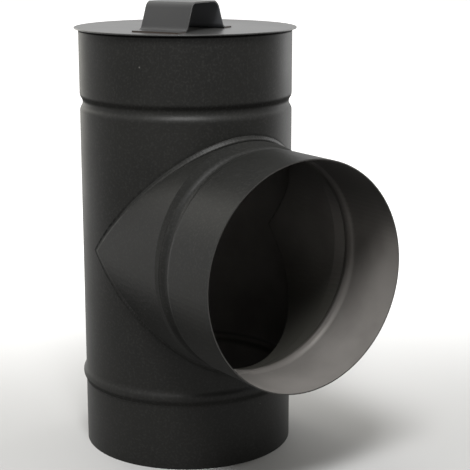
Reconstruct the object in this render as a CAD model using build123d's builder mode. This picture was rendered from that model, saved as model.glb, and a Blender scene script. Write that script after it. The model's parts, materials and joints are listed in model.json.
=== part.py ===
"""Stove-pipe tee in black sheet steel: an upright run, an equal branch mitred into it, and a lift-out cap on top.

The run stands on its spigot with the origin on its axis at the spigot's open end. +Z points up the run and +X
points out of the branch.
"""
import os
from math import cos, degrees, hypot, radians, sin

from build123d import *

# Sheet and tubes, in millimetres: the plain lengths that take and make a push fit, and the gaps beside the joint
sheet = 0.8
run_radius = 75.0
spigot_length = 45.0
socket_depth = 44.5
socket_play = 1.5
gap_below_joint = 8.0
gap_above_joint = 10.0
neck_length = 8.1

# Beads rolled into the tubes: one outwards above the spigot, and one inwards behind each socket
spigot_bead_width = 13.0
spigot_bead_rise = 2.0
stop_bead_width = 12.5
stop_bead_depth = 2.0

# Mitred joint: the root of the branch is squeezed to the run's width, so it stands taller than the run is wide
root_rise = 5.0
weld_radius = 2.6
weld_sink = 2.2
weld_lift = 0.8

# Inspection cap
lid_overhang = 3.0
lid_sheet = 1.0
lid_edge_round = 0.35
sleeve_play = 0.4
sleeve_clearance = 2.5

# Strap handle on the lid
strap_width = 36.0
strap_sheet = 1.0
strap_height = 19.5
strap_top = 31.5
strap_base = 47.5
strap_foot = 12.0
near_bend = 5.0
far_bend = 8.0
foot_bend = 5.0
foot_corner = 1.0
handle_turn = 116.0
handle_x = 25.8
handle_y = -18.6

# The joint's own sizes
mitre_slope = (run_radius + root_rise) / run_radius
joint_half_height = (run_radius + weld_lift) * mitre_slope + weld_radius
weld_overrun = degrees(4 * weld_radius / run_radius)

# Heights up the run, each from the one below it
spigot_bead_height = spigot_length + spigot_bead_width / 2
branch_height = spigot_length + spigot_bead_width + gap_below_joint + joint_half_height
run_stop_height = branch_height + joint_half_height + gap_above_joint + stop_bead_width / 2
run_length = run_stop_height + stop_bead_width / 2 + socket_depth
lid_top = run_length + lid_sheet

# Distances along the branch from the run's axis
root_reach = run_radius + weld_lift + weld_radius
neck_end = root_reach + neck_length
branch_stop_reach = neck_end + stop_bead_width / 2
branch_reach = neck_end + stop_bead_width + socket_depth

# Radii, and the lines that the branch and the handle lie along
run_bore = run_radius - sheet
socket_bore = run_radius + socket_play
socket_radius = socket_bore + sheet
lid_radius = run_radius + lid_overhang
sleeve_radius = run_bore - sleeve_play
sleeve_length = socket_depth - sleeve_clearance
branch_axis = Axis((0, 0, branch_height), (1, 0, 0))
handle_line = (cos(radians(handle_turn)), sin(radians(handle_turn)), 0)
handle_side = (sin(radians(handle_turn)), -cos(radians(handle_turn)), 0)


def rolled_bead(radius, middle, width, rise):
    """Draws a bead along a tube's outline in the (radius, height) plane: four tangent arcs, out or in by rise."""
    start = (radius, middle - width / 2)
    flank_in = (radius + rise / 2, middle - width / 4)
    crest = (radius + rise, middle)
    flank_out = (radius + rise / 2, middle + width / 4)
    end = (radius, middle + width / 2)
    up_flank = TangentArc(start, flank_in, tangent=(0, 1))
    TangentArc(flank_in, crest, tangent=up_flank % 1)
    down_flank = TangentArc(crest, flank_out, tangent=(0, 1))
    TangentArc(flank_out, end, tangent=down_flank % 1)
    return start, end


def across_branch(reach):
    """The plane square to the branch at a distance from the run's axis, with its second direction upwards."""
    return Plane((reach, 0, branch_height), x_dir=(0, 1, 0), z_dir=(1, 0, 0))


def joint_wedge(mode):
    """The wedge in front of the run's axis that the branch fills: its two sloping faces are the mitre planes."""
    depth = branch_reach + run_radius
    with BuildSketch(Plane.XZ) as wedge:
        with BuildLine():
            Polyline(
                (0, branch_height),
                (depth, branch_height + depth * mitre_slope),
                (depth, branch_height - depth * mitre_slope),
                close=True,
            )
        make_face()
    extrude(wedge.sketch, amount=2 * run_radius, both=True, mode=mode)


# The run: one rolled tube, beaded near both ends and cut open where the branch meets it
with BuildPart() as main_pipe:
    with BuildSketch(Plane.XZ):
        with BuildLine():
            low_start, low_end = rolled_bead(run_radius, spigot_bead_height, spigot_bead_width, spigot_bead_rise)
            top_start, top_end = rolled_bead(run_radius, run_stop_height, stop_bead_width, -stop_bead_depth)
            Line((run_radius, 0), low_start)
            Line(low_end, top_start)
            Line(top_end, (run_radius, run_length))
            offset(amount=sheet, side=Side.LEFT)
        make_face()
    revolve(axis=Axis.Z)
    joint_wedge(Mode.SUBTRACT)
main_pipe.part.label = "main_pipe"

# The branch: an oval root mitred to the run, a short neck back to round, a stop bead and a plain socket
with BuildPart() as branch_pipe:
    with BuildSketch(across_branch(0)):
        Ellipse(run_radius, run_radius * mitre_slope)
        Ellipse(run_bore, run_bore * mitre_slope, mode=Mode.SUBTRACT)
    extrude(amount=root_reach)
    joint_wedge(Mode.INTERSECT)
    for oval_width, ring_radius, mode in (
        (run_radius, socket_radius, Mode.ADD),
        (run_bore, socket_bore, Mode.SUBTRACT),
    ):
        with BuildSketch(across_branch(root_reach)):
            Ellipse(oval_width, oval_width * mitre_slope)
        with BuildSketch(across_branch(neck_end)):
            Circle(ring_radius)
        loft(mode=mode)
    with BuildSketch(Plane((0, 0, branch_height), x_dir=(0, 0, 1), z_dir=(0, 1, 0))):
        with BuildLine():
            stop_start, stop_end = rolled_bead(
                socket_radius, branch_stop_reach, stop_bead_width, -stop_bead_depth
            )
            Line(stop_end, (socket_radius, branch_reach))
            offset(amount=sheet, side=Side.LEFT)
        make_face()
    revolve(axis=branch_axis)
branch_pipe.part.label = "branch_pipe"

# The weld: a round bead along the upper mitre line, trimmed at the joint's points, and its mirror image below
with BuildPart() as saddle_weld:
    slope_length = hypot(1, mitre_slope)
    mitre_plane = Plane((0, 0, branch_height), x_dir=(0, -1, 0), z_dir=(-mitre_slope, 0, 1))
    with BuildLine(mitre_plane) as weld_line:
        EllipticalCenterArc(
            (0, 0),
            run_radius - weld_sink,
            (run_radius + weld_lift) * slope_length,
            start_angle=-weld_overrun,
            arc_size=180 + 2 * weld_overrun,
        )
    with BuildSketch(Plane(weld_line.line @ 0, z_dir=weld_line.line % 0)):
        Circle(weld_radius)
    sweep(path=weld_line.line)
    split(bisect_by=Plane.XY.offset(branch_height), keep=Keep.TOP)
    mirror(about=Plane.XY.offset(branch_height))
    Cylinder(run_radius, run_length, align=(Align.CENTER, Align.CENTER, Align.MIN), mode=Mode.SUBTRACT)
    with BuildSketch(across_branch(0)):
        Ellipse(run_radius, run_radius * mitre_slope)
    extrude(amount=branch_reach, mode=Mode.SUBTRACT)
saddle_weld.part.label = "saddle_weld"

# The cap's lid: a flat disc that rests on the run's rim and overhangs it
with BuildPart() as cap_disc:
    with BuildSketch(Plane.XY.offset(run_length)):
        Circle(lid_radius)
    extrude(amount=lid_sheet)
    fillet(cap_disc.edges().filter_by(GeomType.CIRCLE), radius=lid_edge_round)
cap_disc.part.label = "cap_disc"

# The cap's sleeve: a short tube under the lid that slides inside the run, clear of its stop bead
with BuildPart() as cap_sleeve:
    with BuildSketch(Plane.XY.offset(run_length)):
        Circle(sleeve_radius)
        Circle(sleeve_radius - sheet, mode=Mode.SUBTRACT)
    extrude(amount=-sleeve_length)
cap_sleeve.part.label = "cap_sleeve"

# The handle: one strap bent to a hat profile, with its two feet flat on the lid
with BuildPart() as cap_handle:
    with BuildSketch(Plane((handle_x, handle_y, lid_top), x_dir=handle_line, z_dir=handle_side)):
        with BuildLine():
            FilletPolyline(
                (-strap_base / 2 - strap_foot, 0),
                (-strap_base / 2, 0),
                (-strap_top / 2, strap_height - strap_sheet),
                (strap_top / 2, strap_height - strap_sheet),
                (strap_base / 2, 0),
                (strap_base / 2 + strap_foot, 0),
                radius=[foot_bend, near_bend, far_bend, foot_bend],
            )
            offset(amount=strap_sheet, side=Side.LEFT)
        make_face()
    extrude(amount=strap_width / 2, both=True)
    fillet(cap_handle.edges().filter_by(Axis.Z), radius=foot_corner)
cap_handle.part.label = "cap_handle"

os.makedirs("parts", exist_ok=True)
for piece in (main_pipe, branch_pipe, saddle_weld, cap_disc, cap_sleeve, cap_handle):
    export_step(piece.part, f"parts/{piece.part.label}.step")
    print(piece.part.label, round(piece.part.volume, 1), "mm3")
print("run", round(run_length, 2), "branch at", round(branch_height, 2), "reach", round(branch_reach, 2), "mm")
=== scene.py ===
# %% [markdown]
# A black stove-pipe tee with a lift-out cap
#
# This lesson dresses a flue fitting of thin sheet steel. The upright run stands on its spigot, an equal branch is
# mitred into its side, and a loose lid with a bent strap handle closes the top. The sizes come from the CAD frame,
# so the first cell loads it and keeps its box, and every later cell only adds finish and small formed detail.

# %% Load the frame
import json
import math

import bmesh
import bpy
from mathutils import Matrix, Vector


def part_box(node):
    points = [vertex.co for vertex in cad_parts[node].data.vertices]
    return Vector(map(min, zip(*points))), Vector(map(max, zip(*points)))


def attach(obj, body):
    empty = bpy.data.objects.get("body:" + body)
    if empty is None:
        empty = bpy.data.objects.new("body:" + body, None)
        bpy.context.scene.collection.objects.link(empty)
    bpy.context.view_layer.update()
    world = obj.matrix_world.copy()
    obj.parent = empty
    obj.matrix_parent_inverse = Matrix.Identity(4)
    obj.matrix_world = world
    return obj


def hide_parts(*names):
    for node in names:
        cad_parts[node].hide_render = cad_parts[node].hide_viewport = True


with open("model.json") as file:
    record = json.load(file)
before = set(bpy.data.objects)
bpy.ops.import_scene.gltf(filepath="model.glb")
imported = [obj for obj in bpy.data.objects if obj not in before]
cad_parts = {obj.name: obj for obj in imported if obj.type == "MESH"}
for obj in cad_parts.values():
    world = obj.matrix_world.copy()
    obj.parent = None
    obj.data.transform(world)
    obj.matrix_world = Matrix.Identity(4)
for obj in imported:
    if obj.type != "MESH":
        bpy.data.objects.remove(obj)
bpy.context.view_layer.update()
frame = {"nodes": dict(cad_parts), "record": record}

nodes = frame["nodes"]
print("nodes:", sorted(nodes))

# %% [markdown]
# Sizes that the pieces share
#
# A maker measures a tee from its two open ends. The record states both as mounts, so the run's radius, the height of
# the branch and the reach of its mouth are read from there. The root of the branch is a little taller than the run is
# wide, and the top of the branch's box gives that slope of the mitre.

# %% Read the sizes
mounts = {mount["name"]: mount for mount in frame["record"]["mounts"]}
run_radius = mounts["spigot"]["dims"]["r_mm"] / 1000
branch_reach, _, branch_height = mounts["branch_socket"]["pos_m"]
mitre_slope = (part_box("branch_pipe")[1].z - branch_height) / run_radius
lid_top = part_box("cap_disc")[1].z
run_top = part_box("main_pipe")[1].z
print(f"run radius {run_radius:.4f}, branch at {branch_height:.4f}, mitre slope {mitre_slope:.4f}")
print(f"top of the run {run_top:.4f}, top of the lid {lid_top:.4f}")

# %% [markdown]
# The camera
#
# The picture was taken from a little above the lid with a long lens, so the two sides of the run stay almost parallel.
# A camera in Blender looks along its own -Z, and to_track_quat turns it to a viewing direction and keeps it upright.
# The lens is worked out for a square picture on a sensor 36 mm wide.

# %% Place the camera
camera_azimuth = math.radians(57.529)
camera_distance = 0.93939
camera_height = 0.36839
camera_swing = math.radians(-2.120)
camera_dip = math.radians(13.064)
camera_lens = 101.57
sensor_width = 36.0

camera_spot = Vector((
    math.sin(camera_azimuth) * camera_distance,
    -math.cos(camera_azimuth) * camera_distance,
    camera_height,
))
heading = camera_azimuth + camera_swing
looking = Vector((
    -math.sin(heading) * math.cos(camera_dip),
    math.cos(heading) * math.cos(camera_dip),
    -math.sin(camera_dip),
))
camera_data = bpy.data.cameras.new("photo_camera")
camera_data.sensor_fit = "HORIZONTAL"
camera_data.sensor_width = sensor_width
camera_data.lens = camera_lens
camera = bpy.data.objects.new("photo_camera", camera_data)
camera.location = camera_spot
camera.rotation_mode = "QUATERNION"
camera.rotation_quaternion = looking.to_track_quat("-Z", "Y")
bpy.context.scene.collection.objects.link(camera)
bpy.context.scene.camera = camera
print("camera at", [round(v, 3) for v in camera_spot])

# %% [markdown]
# Helpers for node trees
#
# Every finish here is a node tree, and so is the light of the room. Writing out each node by hand hides the idea of a
# finish behind its wiring, so a small class keeps a tree and makes nodes and links in one call each. The Light Path
# node tells which kind of ray meets a surface, and one call asks it for the rays that show the backdrop.

# %% Make a helper for node trees
class Wiring:
    """A node tree, with short calls that add a node and wire it."""

    def __init__(self, tree):
        self.tree = tree

    def add(self, kind, inputs=None, **settings):
        node = self.tree.nodes.new(kind)
        for name, value in settings.items():
            setattr(node, name, value)
        for socket, value in (inputs or {}).items():
            self.feed(node.inputs[socket], value)
        return node

    def feed(self, socket, value):
        if isinstance(value, bpy.types.NodeSocket):
            self.tree.links.new(value, socket)
        else:
            socket.default_value = value

    def ramp(self, value, low, high, start=0.0, end=1.0):
        """A value carried smoothly from one range to another and held at both ends."""
        kind = self.add("ShaderNodeMapRange", {
            "Value": value, "From Min": low, "From Max": high, "To Min": start, "To Max": end,
        }, interpolation_type="SMOOTHSTEP")
        return kind.outputs["Result"]

    def maths(self, operation, first, second=0.0):
        return self.add("ShaderNodeMath", {0: first, 1: second}, operation=operation).outputs["Value"]

    def product(self, first, second):
        return self.maths("MULTIPLY", first, second)

    def vector(self, operation, first, second=None):
        """The node of a sum on directions or places, with its own outputs for a vector and for a number."""
        inputs = {0: first} if second is None else {0: first, 1: second}
        return self.add("ShaderNodeVectorMath", inputs, operation=operation)

    def mix_colour(self, share, first, second):
        node = self.add("ShaderNodeMix", {"Factor": share, "A": first, "B": second}, data_type="RGBA")
        return node.outputs["Result"]

    def mix_value(self, share, first, second):
        node = self.add("ShaderNodeMix", {"Factor": share, "A": first, "B": second}, data_type="FLOAT")
        return node.outputs["Result"]

    def shown(self):
        """1 for the rays that show the backdrop: from the camera, and from glossy and clear things."""
        path = self.add("ShaderNodeLightPath").outputs
        either = self.maths("MAXIMUM", path["Is Camera Ray"], path["Is Glossy Ray"])
        return self.maths("MAXIMUM", either, path["Is Transmission Ray"])


print("wiring helper ready")

# %% [markdown]
# Helpers for finishes
#
# A finish changes from place to place: paint ends where a wall turns inwards, and a corner is darker than the sheet
# beside it. Such borders could be painted on an image, but this tee has no image, so each one is measured from the
# place or the true normal of the surface. All patterns read Object coordinates, which stay on the steel when the cap
# is lifted.

# %% Make a helper for finishes
upwards = (0, 0, 1)


class Finish(Wiring):
    """A material: its node tree, its shader, and patterns that read the place on the piece."""

    def __init__(self, name):
        self.material = bpy.data.materials.new(name)
        self.material.use_nodes = True
        super().__init__(self.material.node_tree)
        self.shader = self.tree.nodes["Principled BSDF"]
        self.place = self.add("ShaderNodeTexCoord").outputs["Object"]

    def noise(self, scale, detail=2.0):
        """Noise with so many grains to the metre."""
        grain = self.add("ShaderNodeTexNoise", {"Vector": self.place, "Scale": scale, "Detail": detail})
        return grain.outputs["Fac"]

    def specks(self, spacing, size):
        """1 in a few small round spots, about one to each cell of a grid with that spacing."""
        cells = self.add("ShaderNodeTexVoronoi", {"Vector": self.place, "Scale": 1 / spacing})
        return self.ramp(cells.outputs["Distance"], size / spacing, 0.5 * size / spacing)

    def bump(self, height, depth, strength, onto=None):
        node = self.add("ShaderNodeBump", {"Height": height, "Distance": depth, "Strength": strength})
        if onto is not None:
            self.feed(node.inputs["Normal"], onto)
        return node.outputs["Normal"]

    def along(self, axis):
        """One coordinate of the place: X, Y or Z."""
        return self.add("ShaderNodeSeparateXYZ", {"Vector": self.place}).outputs[axis]

    def facing(self, direction):
        """How squarely the true surface faces a direction: a fixed vector, or a socket that gives one."""
        normal = self.add("ShaderNodeNewGeometry").outputs["True Normal"]
        return self.vector("DOT_PRODUCT", normal, direction).outputs["Value"]

    def inside(self, axis, centre):
        """1 where a wall faces the line through a centre along an axis, and 0 where it faces away from it."""
        away = self.vector("SUBTRACT", self.place, centre).outputs[0]
        lengthwise = self.vector("PROJECT", away, axis).outputs[0]
        radial = self.vector("SUBTRACT", away, lengthwise).outputs[0]
        return self.ramp(self.facing(self.vector("NORMALIZE", radial).outputs[0]), -0.2, -0.35)

    def from_mitre(self):
        """Distance from the nearer mitre plane: more than 0 on the run's side, less on the branch's side."""
        tall = self.maths("ABSOLUTE", self.maths("SUBTRACT", self.along("Z"), branch_height))
        over = self.maths("SUBTRACT", tall, self.product(self.along("X"), mitre_slope))
        return self.maths("DIVIDE", over, math.hypot(1, mitre_slope))

    def finish(self, colour, roughness, normal, metal=0.0):
        self.feed(self.shader.inputs["Base Color"], colour)
        self.feed(self.shader.inputs["Roughness"], roughness)
        self.feed(self.shader.inputs["Normal"], normal)
        self.feed(self.shader.inputs["Metallic"], metal)
        return self.material


def dress(piece, material):
    piece.data.materials.clear()
    piece.data.materials.append(material)


print("finish helper ready")

# %% [markdown]
# The sprayed paint outside
#
# Heat-proof stove paint is sprayed thin and dries matt: nearly black where one looks straight at it, and silvery grey
# where the surface turns away. That edge comes from the shader's own reflection, so the base colour stays very dark.
# Wide clouds, a fine mottle and a few specks of dust keep it from looking like plastic. The spray lands drier on the
# underside and on the rolled neck of the branch, so the paint is rougher there and reflects less of the floor.

# %% Spray the outside
paint_dark = (0.0060, 0.0061, 0.0055, 1)
paint_light = (0.0095, 0.0095, 0.0084, 1)
paint_mottle = (0.0190, 0.0190, 0.0176, 1)
paint_dust = (0.090, 0.088, 0.082, 1)
cloud_grain = 14.0
mottle_grain = 650.0
mottle_most = 0.7
dust_spacing = 0.030
dust_size = 0.0007
satin = (0.46, 0.54)
dry_spray = 0.95
neck_start = (0.0775, 0.0790)
neck_finish = (0.0885, 0.0865)


def sprayed_colour(look, clouds):
    """Nearly black paint with wide clouds, a fine mottle and a few specks of dust."""
    paint = look.mix_colour(look.ramp(clouds, 0.3, 0.7), paint_dark, paint_light)
    mottle = look.ramp(look.noise(mottle_grain), 0.45, 0.75, 0.0, mottle_most)
    paint = look.mix_colour(mottle, paint, paint_mottle)
    return look.mix_colour(look.specks(dust_spacing, dust_size), paint, paint_dust)


def sprayed_roughness(look, clouds):
    """An even satin that is drier on the underside and on the neck of the branch."""
    underside = look.ramp(look.facing(upwards), 0.0, -0.45)
    reach = look.along("X")
    neck = look.product(look.ramp(reach, *neck_start), look.ramp(reach, *neck_finish))
    dry = look.maths("MAXIMUM", underside, neck)
    return look.mix_value(dry, look.ramp(clouds, 0.25, 0.75, *satin), dry_spray)


print(f"spray: satin roughness {satin}, dry {dry_spray}")

# %% [markdown]
# The bare steel inside
#
# The tubes are painted outside only, so their inside is plain dark steel. The upper half of the bore, which the light
# through the mouth does not reach, is painted darker as shade, and so is the bottom behind the stop bead, which is why
# the bead stands out there as a pale line. Both painted shades depend only on which way the wall leans and how deep it
# lies, so they are mixed from the normal and from the distance along the branch.

# %% Leave the inside bare
steel_dark = (0.140, 0.132, 0.124, 1)
steel_light = (0.182, 0.172, 0.162, 1)
# painted shade: darker steel on the upper half of the bore and on the bottom behind the stop bead
steel_painted_shade = (0.045, 0.043, 0.041, 1)
steel_deep_painted_shade = (0.068, 0.066, 0.058, 1)
steel_grain = 25.0
stop_depth = 0.0508
stop_crest = branch_reach - stop_depth
deep_shade_edge = (stop_crest + 0.0005, stop_crest - 0.0025)


def bare_steel(look):
    """Plain steel, with painted shade where it faces down and on the bottom behind the branch's stop bead."""
    blotches = look.ramp(look.noise(steel_grain, detail=5.0), 0.3, 0.7)
    steel = look.mix_colour(blotches, steel_dark, steel_light)
    lean = look.facing(upwards)
    steel = look.mix_colour(look.ramp(lean, -0.05, -0.7), steel, steel_painted_shade)
    deep_shade = look.product(look.ramp(look.along("X"), *deep_shade_edge), look.ramp(lean, 0.0, 0.55))
    return look.mix_colour(deep_shade, steel, steel_deep_painted_shade)


print(f"the branch's stop bead is at {stop_crest:.4f} m from the run's axis")

# %% [markdown]
# The painted shade and highlight beside the weld
#
# Where the branch meets the run, the corner lies in shade, and that shade is painted into the colour as a thin black
# line. The branch's own edge catches the light, and that is painted as a pale line, a painted highlight. Both lines
# are strongest at the joint's point and fade along the mitre, and the rough weld breaks them up. A drawn line would
# look like ink, so its distance from the mitre plane wanders with a noise and a second noise thins it. The same black
# is painted on the run as the shadow right under the lid.

# %% Shade the corner
# painted highlight: the pale line on the branch's own edge at the joint
painted_highlight_edge = (0.050, 0.049, 0.046, 1)
corner_offset = 0.0007
corner_spread = 0.018
corner_wander = 0.0012
corner_width = (0.0011, 0.0003)
highlight_offset = 0.0009
highlight_width = (0.0008, 0.0003)
wander_grain = 150.0
break_grain = 260.0
# painted shadow: a black band on the run just under the lid's edge
lid_shadow_line = run_top - 0.0012
lid_fade = 0.0008
lid_shadow = 0.8


def joint_shade(look, bare):
    """How strongly the painted shade and highlight along the joint show: most at its point, and less far out, below it
    and inside.
    """
    outward = look.ramp(look.along("X"), 0.050, 0.004, 0.22, 0.75)
    above = look.ramp(look.along("Z"), branch_height - 0.003, branch_height + 0.001, 0.6, 1.0)
    broken = look.ramp(look.noise(break_grain), 0.35, 0.6, 0.45, 1.0)
    shade = look.product(look.product(outward, above), broken)
    return look.product(shade, look.mix_value(bare, 1.0, 0.45))


def painted_shade_share(look, mitre, shade):
    """The share of painted shade: black in the corner beside the weld and in the shadow line under the lid."""
    wander = look.product(look.noise(wander_grain, detail=3.0), corner_wander)
    corner = look.maths("ADD", look.product(look.along("X"), corner_spread), wander)
    beside = look.maths("SUBTRACT", look.maths("SUBTRACT", mitre, corner_offset), corner)
    line = look.ramp(look.maths("ABSOLUTE", beside), *corner_width)
    under_lid = look.ramp(look.along("Z"), lid_shadow_line - lid_fade, lid_shadow_line, 0.0, lid_shadow)
    return look.maths("MAXIMUM", look.product(line, shade), under_lid)


def painted_highlight_share(look, mitre, shade):
    """The share of painted highlight on the branch's own mitred edge."""
    beside = look.maths("ABSOLUTE", look.maths("ADD", mitre, highlight_offset))
    return look.product(look.ramp(beside, *highlight_width), shade)


print(f"corner line up to {corner_width[0] * 2000:.1f} mm wide, lid line at {lid_shadow_line:.4f} m")

# %% [markdown]
# The tube paint as a whole
#
# One material for each tube joins what the last cells made: paint outside, steel where a wall faces the tube's axis,
# and a darker cut edge on the thin rim that faces straight out of an open end. The painted shade in the corner is a
# black metal, because a plain black paint would still mirror the white room. Fine grain makes the dried spray, and a
# wide, weak swell makes the reflections wander as they do on rolled sheet.

# %% Mix the tube paint
rim_steel = (0.038, 0.037, 0.035, 1)
# painted shade: the black in the weld corner and under the lid
painted_shade_black = (0.003, 0.003, 0.003, 1)
paint_reflection = 0.20
steel_roughness = 0.5
steel_metal = 0.15
painted_shade_roughness = 0.9
painted_shade_metal = 1.0
sheet_swell_grain = 9.0
sheet_swell = 0.0012
spray_grain = 1400.0
spray_height = 0.00004
tube_relief = 0.5


def tube_paint(name, axis, centre):
    look = Finish(name)
    clouds = look.noise(cloud_grain, detail=4.0)
    bare = look.inside(axis, centre)
    rim = look.ramp(look.maths("ABSOLUTE", look.facing(axis)), 0.9, 0.97)
    mitre = look.from_mitre()
    shade = joint_shade(look, bare)
    painted_shade = painted_shade_share(look, mitre, shade)
    # painted highlight on the branch's edge
    paint = look.mix_colour(painted_highlight_share(look, mitre, shade), sprayed_colour(look, clouds), painted_highlight_edge)
    colour = look.mix_colour(rim, look.mix_colour(bare, paint, bare_steel(look)), rim_steel)
    # painted shade in the weld corner and under the lid
    colour = look.mix_colour(painted_shade, colour, painted_shade_black)
    roughness = look.mix_value(bare, sprayed_roughness(look, clouds), steel_roughness)
    roughness = look.mix_value(painted_shade, roughness, painted_shade_roughness)
    metal = look.mix_value(painted_shade, look.mix_value(bare, 0.0, steel_metal), painted_shade_metal)
    swell = look.bump(look.noise(sheet_swell_grain, detail=1.0), sheet_swell, tube_relief)
    spray = look.bump(look.noise(spray_grain), spray_height, tube_relief, onto=swell)
    look.shader.inputs["Specular IOR Level"].default_value = paint_reflection
    return look.finish(colour, roughness, spray, metal)


dress(nodes["main_pipe"], tube_paint("run_paint", upwards, (0, 0, 0)))
dress(nodes["branch_pipe"], tube_paint("branch_paint", (1, 0, 0), (0, 0, branch_height)))
for pipe in ("main_pipe", "branch_pipe"):
    print(pipe, "painted with", len(nodes[pipe].data.materials[0].node_tree.nodes), "shader nodes")

# %% [markdown]
# The handle's cut edges and painted light
#
# The strap was cut and bent from coated sheet. The edges of its two feet were cut after the spraying and have gone a
# little brown. The strap's inner side is painted a lighter bluish grey, as painted light that stands in for the light
# bouncing in under the strap. The first mark is found by its height, less than one sheet above the lid, and the second
# with the same test that finds the inside of a tube, along the line that the strap is bent around.

# %% Mark the handle
cut_edge = (0.036, 0.024, 0.018, 1)
# painted light: a lighter bluish grey that stands in for light bouncing under the strap
painted_bounce_light = (0.115, 0.119, 0.128, 1)
strap_sheet = 0.001
foot_top = lid_top + strap_sheet
foot_fade = 0.0003
handle_turn = math.radians(116)
handle_side = (math.sin(handle_turn), -math.cos(handle_turn), 0)
handle_low, handle_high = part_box("cap_handle")
handle_middle = ((handle_low.x + handle_high.x) / 2, (handle_low.y + handle_high.y) / 2, lid_top)


def handle_marks(look, colour):
    """Painted light on the strap's inner side, and brown cut edges on its feet."""
    low = look.ramp(look.along("Z"), foot_top, foot_top - foot_fade)
    upright = look.ramp(look.maths("ABSOLUTE", look.facing(upwards)), 0.5, 0.2)
    colour = look.mix_colour(look.inside(handle_side, handle_middle), colour, painted_bounce_light)
    return look.mix_colour(look.product(low, upright), colour, cut_edge)


print("handle's middle:", [round(v, 4) for v in handle_middle])

# %% [markdown]
# The cap's paint
#
# The lid and its handle have the same black paint in a smoother coat: the lid shows a soft picture of the handle that
# stands on it. A lower roughness does that by itself, so this finish needs no second layer. The sleeve under the lid
# is sprayed like the tubes and takes their darker colours.

# %% Mix the cap's paint
lid_black = ((0.026, 0.026, 0.0255, 1), (0.036, 0.0355, 0.0340, 1))
handle_black = ((0.022, 0.022, 0.022, 1), (0.030, 0.030, 0.0295, 1))
sleeve_black = (paint_dark, paint_light)
cap_reflection = 0.4
cap_swell_grain = 11.0
cap_swell = 0.0010
cap_spray_height = 0.00003
cap_relief = 0.4


def cap_paint(name, colours, roughness, marks=None):
    look = Finish(name)
    clouds = look.noise(cloud_grain, detail=4.0)
    colour = look.mix_colour(look.ramp(clouds, 0.3, 0.7), *colours)
    if marks is not None:
        colour = marks(look, colour)
    swell = look.bump(look.noise(cap_swell_grain, detail=1.0), cap_swell, cap_relief)
    spray = look.bump(look.noise(spray_grain), cap_spray_height, cap_relief, onto=swell)
    look.shader.inputs["Specular IOR Level"].default_value = cap_reflection
    return look.finish(colour, look.ramp(clouds, 0.25, 0.75, *roughness), spray)


dress(nodes["cap_disc"], cap_paint("lid_paint", lid_black, (0.32, 0.38)))
dress(nodes["cap_sleeve"], cap_paint("sleeve_paint", sleeve_black, (0.46, 0.54)))
dress(nodes["cap_handle"], cap_paint("handle_paint", handle_black, (0.36, 0.42), handle_marks))
print("cap painted:", [nodes[name].data.materials[0].name for name in ("cap_disc", "cap_sleeve", "cap_handle")])

# %% [markdown]
# The weld along the mitre
#
# A hand weld is a row of small overlapping pools, and this one was run twice, so a shallow groove parts its two lips.
# The CAD bead is a smooth round bar along both mitre lines. A bump in the material could fake the pools, but they show
# on the outline, so the piece that stands for the bead follows the same line and gives each ring its own size. The
# middle line is an ellipse in the upper mitre plane.

# %% Shape one ring of the weld
weld_radius = 0.0026
weld_sink = 0.0022
weld_lift = 0.0008
weld_sides = 28
groove_depth = 0.0006
groove_sharpness = 6
pool_pitch = 0.0024
pool_height = 0.00014
pool_middle = 0.6
hand_wander = 0.00012
hand_waves = ((210, 0.0, 0.5), (530, 1.3, 0.3), (97, 0.4, 0.6))
half_step = 0.001

mitre_normal = Vector((-mitre_slope, 0, 1)).normalized()


def weld_point(angle):
    """A point of the bead's middle line."""
    out = (run_radius + weld_lift) * math.sin(angle)
    return Vector((out, -(run_radius - weld_sink) * math.cos(angle), branch_height + mitre_slope * out))


def pool_swell(length):
    """How far the bead stands up or narrows after so much welding: round pools, and a slow unsteady hand."""
    pool = abs(math.sin(math.pi * length / pool_pitch)) - pool_middle
    hand = sum(math.sin(length * rate + start) * share for rate, start, share in hand_waves)
    return pool_height * pool + hand_wander * hand


def weld_ring(mesh, angle, length):
    """A circle square to the middle line, with the groove pressed into its outer side."""
    ahead = (weld_point(angle + half_step) - weld_point(angle - half_step)).normalized()
    outward = ahead.cross(mitre_normal)
    place = Matrix((mitre_normal, outward, ahead)).transposed().to_4x4()
    place.translation = weld_point(angle)
    radius = weld_radius + pool_swell(length)
    ring = bmesh.ops.create_circle(mesh, segments=weld_sides, radius=radius, matrix=place)
    for vert in ring["verts"]:
        share = max(0.0, (vert.co - place.translation).normalized().dot(outward))
        vert.co -= outward * groove_depth * share ** groove_sharpness
    return list({edge for vert in ring["verts"] for edge in vert.link_edges})


print("weld's top at", [round(v, 4) for v in weld_point(math.pi / 2)])

# %% [markdown]
# From rings to a bead
#
# A welder starts a little before the joint's point and ends a little past the other one. The sweep does the same:
# bridge_loops joins each ring to the one before it, bisect_plane trims the overrun at the height of the points, and
# mirror makes the lower line from the upper one. The normals are recalculated once the doubles are merged, because a
# mirrored half is turned inside out.

# %% Sweep the weld
weld_overrun = math.radians(9.0)
weld_steps = 420
mirror_gap = 1e-5
double_gap = 1e-6


def whole(mesh):
    return mesh.verts[:] + mesh.edges[:] + mesh.faces[:]


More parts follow.
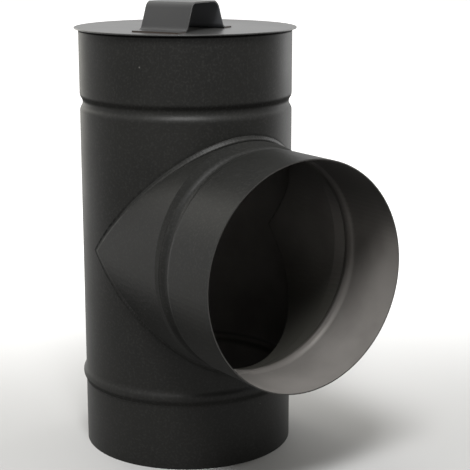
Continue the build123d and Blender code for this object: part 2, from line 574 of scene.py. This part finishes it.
weld_mesh = bmesh.new()
last_ring, last_point, welded = None, None, 0.0
for step in range(weld_steps + 1):
    angle = -weld_overrun + (math.pi + 2 * weld_overrun) * step / weld_steps
    point = weld_point(angle)
    if last_point is not None:
        welded += (point - last_point).length
    ring = weld_ring(weld_mesh, angle, welded)
    if last_ring is not None:
        bmesh.ops.bridge_loops(weld_mesh, edges=last_ring + ring)
    last_ring, last_point = ring, point
bmesh.ops.bisect_plane(
    weld_mesh,
    geom=whole(weld_mesh),
    plane_co=(0, 0, branch_height),
    plane_no=upwards,
    clear_inner=True,
)
bmesh.ops.mirror(
    weld_mesh,
    geom=whole(weld_mesh),
    matrix=Matrix.Translation((0, 0, -branch_height)),
    axis="Z",
    merge_dist=mirror_gap,
)
bmesh.ops.remove_doubles(weld_mesh, verts=weld_mesh.verts, dist=double_gap)
bmesh.ops.recalc_face_normals(weld_mesh, faces=weld_mesh.faces)
print(f"weld swept: {welded:.3f} m on the upper line, {len(weld_mesh.faces)} faces")

# %% [markdown]
# Trimming the weld
#
# Only the part of the bead that stands out of the corner is seen on the real tee. The rest would lie inside the two
# tubes and show in the bore, so it is cut away with two solid bars, one as wide as each tube up to the middle of its
# sheet. A boolean is the plain tool for this. Its result is kept as the mesh, so that no modifier stays live. The bead
# wears the tube paint, and its centre is put far behind the run so that its outer faces count as an outside.

# %% Trim the weld to the outside of the tubes
sheet = 0.0008
core_radius = run_radius - sheet / 2
core_length = 0.4
core_sides = 256
far_behind = (-1, 0, 0)


def new_piece(name, mesh):
    """A finished bmesh as an object at the origin, with smooth faces."""
    data = bpy.data.meshes.new(name)
    mesh.to_mesh(data)
    mesh.free()
    data.shade_smooth()
    piece = bpy.data.objects.new(name, data)
    bpy.context.scene.collection.objects.link(piece)
    return piece


def tube_core(name, axis_turn, centre, tallness):
    """A long solid bar as wide as a tube measured to the middle of its sheet."""
    core = bmesh.new()
    bmesh.ops.create_cone(
        core, cap_ends=True, segments=core_sides, radius1=core_radius, radius2=core_radius, depth=core_length,
        matrix=Matrix.Translation(centre) @ axis_turn,
    )
    middle_plane = Matrix.Translation((0, 0, -centre[2]))
    bmesh.ops.scale(core, vec=(1, 1, tallness), space=middle_plane, verts=core.verts)
    bmesh.ops.recalc_face_normals(core, faces=core.faces)
    return new_piece(name, core)


def cut_away(piece, cutter):
    """Takes a solid out of a piece for good, and removes the solid."""
    cut = piece.modifiers.new("cut", "BOOLEAN")
    cut.operation = "DIFFERENCE"
    cut.solver = "EXACT"
    cut.object = cutter
    result = bpy.data.meshes.new_from_object(piece.evaluated_get(bpy.context.evaluated_depsgraph_get()))
    piece.modifiers.clear()
    piece.data = result
    bpy.data.objects.remove(cutter)


weld_bead = new_piece("weld_bead", weld_mesh)
cut_away(weld_bead, tube_core("run_core", Matrix(), (0, 0, branch_height), 1.0))
branch_turn = Matrix.Rotation(math.pi / 2, 4, "Y")
cut_away(weld_bead, tube_core("branch_core", branch_turn, (core_length / 2, 0, branch_height), mitre_slope))
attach(weld_bead, "tee")
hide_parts("saddle_weld")
dress(weld_bead, tube_paint("weld_paint", upwards, far_behind))
print("weld trimmed:", len(weld_bead.data.polygons), "faces")

# %% [markdown]
# The floor
#
# The fitting stands on a pale floor that runs into a white backdrop. A curved paper sweep would do, but a flat disc is
# enough when its far part glows. Near the object it is painted a darker matt grey as shade, which keeps the undersides
# dark, and it takes the real shadow too; further out it is paler. Behind the object it glows to white for camera rays,
# and for the rays that glossy and clear things send on, so that the paint reflects the same white that shows behind
# it.

# %% Lay the floor
floor_radius = 6.0
floor_sides = 96
# painted shade: the floor is darker grey near the object
floor_painted_shade = (0.40, 0.40, 0.400, 1)
floor_far = (0.82, 0.82, 0.820, 1)
floor_change = (0.9, 2.6)
floor_roughness = 0.7
floor_reflection = 0.1
floor_grain = 200.0
backdrop_range = (-0.05, 0.55)
backdrop_glow = 0.85

floor_mesh = bmesh.new()
bmesh.ops.create_circle(floor_mesh, cap_ends=True, segments=floor_sides, radius=floor_radius)
floor = new_piece("floor", floor_mesh)

away_from_camera = Vector((-math.sin(camera_azimuth), math.cos(camera_azimuth), 0))
floor_look = Finish("pale_floor")
depth = floor_look.vector("DOT_PRODUCT", floor_look.place, away_from_camera).outputs["Value"]
far_back = floor_look.product(floor_look.ramp(depth, *backdrop_range), floor_look.shown())
floor_look.feed(floor_look.shader.inputs["Emission Color"], (1, 1, 1, 1))
floor_look.feed(floor_look.shader.inputs["Emission Strength"], floor_look.product(far_back, backdrop_glow))
distance = floor_look.vector("LENGTH", floor_look.place).outputs["Value"]
floor_shade = floor_look.mix_colour(floor_look.ramp(distance, *floor_change), floor_painted_shade, floor_far)
floor_look.shader.inputs["Specular IOR Level"].default_value = floor_reflection
floor_texture = floor_look.bump(floor_look.noise(floor_grain), 0.0001, 0.1)
dress(floor, floor_look.finish(floor_shade, floor_roughness, floor_texture))
print(f"floor laid: {floor_radius:.1f} m around the object, grey up to {floor_change[0]} m")

# %% [markdown]
# The lamps
#
# A black object is drawn by its reflections. A soft key lamp hangs high in front of the mouth, so that its light falls
# on the lower right of the bore and ends near the stop bead. A weak lamp overhead and one far to the left lift the lid
# and the left flank. Two tall lamps stand behind the object, one to each side, and give the run its two pale edges.

# %% Hang the lamps
white = (1, 1, 1)
warm_white = (1.0, 0.97, 0.86)
lamp_aim = Vector((0.05, 0, 0.16))
edge_distance = 1.1
edge_height = Vector((0, 0, 0.35))
edge_size = (0.3, 0.8)


def softbox(name, spot, size, power, colour):
    data = bpy.data.lights.new(name, "AREA")
    data.color = colour
    data.shape = "RECTANGLE"
    data.size, data.size_y = size
    data.energy = power
    lamp = bpy.data.objects.new(name, data)
    lamp.location = spot
    lamp.rotation_mode = "QUATERNION"
    lamp.rotation_quaternion = (lamp_aim - Vector(spot)).to_track_quat("-Z", "Y")
    bpy.context.scene.collection.objects.link(lamp)
    print(f"{name}: {power} W at", [round(v, 2) for v in spot])


softbox("key_box", (0.60, -0.45, 1.32), (0.45, 0.45), 25, white)
softbox("top_box", (-0.1, 0.1, 1.45), (1.0, 1.0), 4, white)
softbox("left_box", (-1.0, -0.26, 0.85), (0.8, 0.6), 3, warm_white)
for side, turn, power, colour in (("left", 34, 1.9, warm_white), ("right", -46, 2.3, white)):
    spot = Matrix.Rotation(math.radians(turn), 3, "Z") @ away_from_camera * edge_distance + edge_height
    softbox(f"edge_box_{side}", spot, edge_size, power, colour)

# %% [markdown]
# The room
#
# The room lights the tee softly from behind and only a little from the camera's side, so that the inside of the
# branch stays dim. To the camera, and in glossy and clear things, it shows as plain white. The world's Generated
# coordinate is the direction of a ray, and its dot product with the bright side tells how far the ray turns away.

# %% Light the room
backdrop_turn = math.radians(6)
bright_side = Matrix.Rotation(-backdrop_turn, 3, "Z") @ away_from_camera
white_angle = math.radians(48)
dim_angle = math.radians(92)
white_level = 1.0
dim_level = 0.25
room_warmth = (1.0, 0.98, 0.92, 1)

world = bpy.data.worlds.new("white_studio")
bpy.context.scene.world = world
world.use_nodes = True
room = Wiring(world.node_tree)
direction = room.add("ShaderNodeTexCoord").outputs["Generated"]
turned = room.vector("DOT_PRODUCT", direction, bright_side).outputs["Value"]
soft_level = room.ramp(turned, math.cos(dim_angle), math.cos(white_angle), dim_level, white_level)
room_shown = room.shown()
background = world.node_tree.nodes["Background"]
room.feed(background.inputs["Strength"], room.mix_value(room_shown, soft_level, white_level))
room.feed(background.inputs["Color"], room.mix_colour(room_shown, room_warmth, (1, 1, 1, 1)))
bpy.context.scene.view_settings.view_transform = "Standard"
print(f"room lit: level {white_level} behind the object, {dim_level} on the camera's side")
